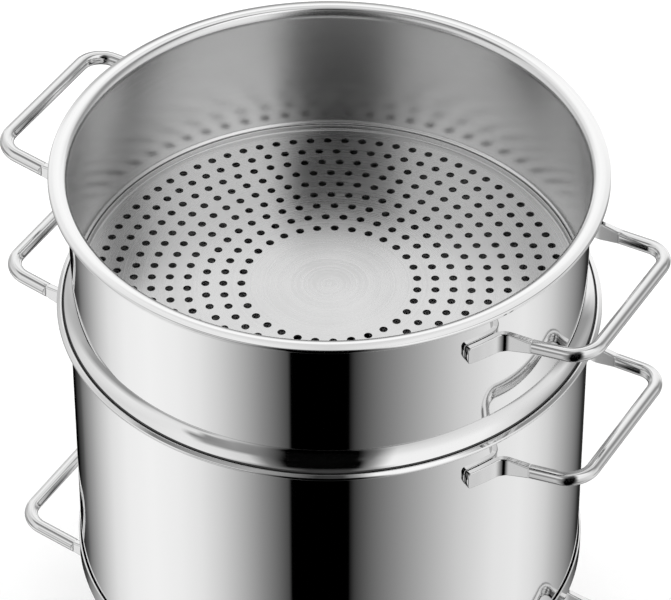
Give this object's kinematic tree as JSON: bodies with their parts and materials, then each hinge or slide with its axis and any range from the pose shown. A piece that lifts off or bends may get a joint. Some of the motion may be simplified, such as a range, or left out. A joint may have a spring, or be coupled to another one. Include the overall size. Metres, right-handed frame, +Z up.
{
  "type": "steam juicer",
  "caption": "Stacked stainless steel steam juicer: a fruit basket on a juice container with a steam chimney, on a water pot with a thick base. Bent rod handles on both sides.",
  "frame": {"origin": "middle of the flat underside of the base, which stands on the hob", "axes": "+Z up through the stack, +X and -X towards the two handles of each vessel, -Y towards the juice outlet"},
  "size_m": [0.3364, 0.2973, 0.3527],
  "materials": {
    "cap_steel": "mirror-polished stainless steel",
    "core_aluminium": "dull, as rolled",
    "pot_steel": "mirror-polished stainless steel",
    "handle_steel": "mirror-polished stainless steel",
    "container_steel": "mirror-polished stainless steel",
    "pan_steel": "satin",
    "chimney_steel": "satin",
    "outlet_steel": "mirror-polished stainless steel",
    "basket_steel": "mirror-polished stainless steel",
    "sieve_steel": "satin"
  },
  "bodies": {
    "water_pot": {"water_pot_shell": "pot_steel", "base_core_disc": "core_aluminium", "base_cap": "cap_steel", "water_pot_handle_right": "handle_steel", "water_pot_handle_left": "handle_steel"},
    "juice_container": {"container_shell": "container_steel", "container_floor": "pan_steel", "steam_chimney": "chimney_steel", "juice_outlet": "outlet_steel", "container_handle_right": "handle_steel", "container_handle_left": "handle_steel"},
    "fruit_basket": {"basket_shell": "basket_steel", "basket_floor": "sieve_steel", "basket_handle_right": "handle_steel", "basket_handle_left": "handle_steel"}
  },
  "joints": [
    {"name": "container_lift", "type": "slide", "parent": "water_pot", "child": "juice_container", "axis": [0, 0, 1], "range_m": [0, 0.1]},
    {"name": "basket_lift", "type": "slide", "parent": "juice_container", "child": "fruit_basket", "axis": [0, 0, 1], "range_m": [0, 0.1]}
  ]
}
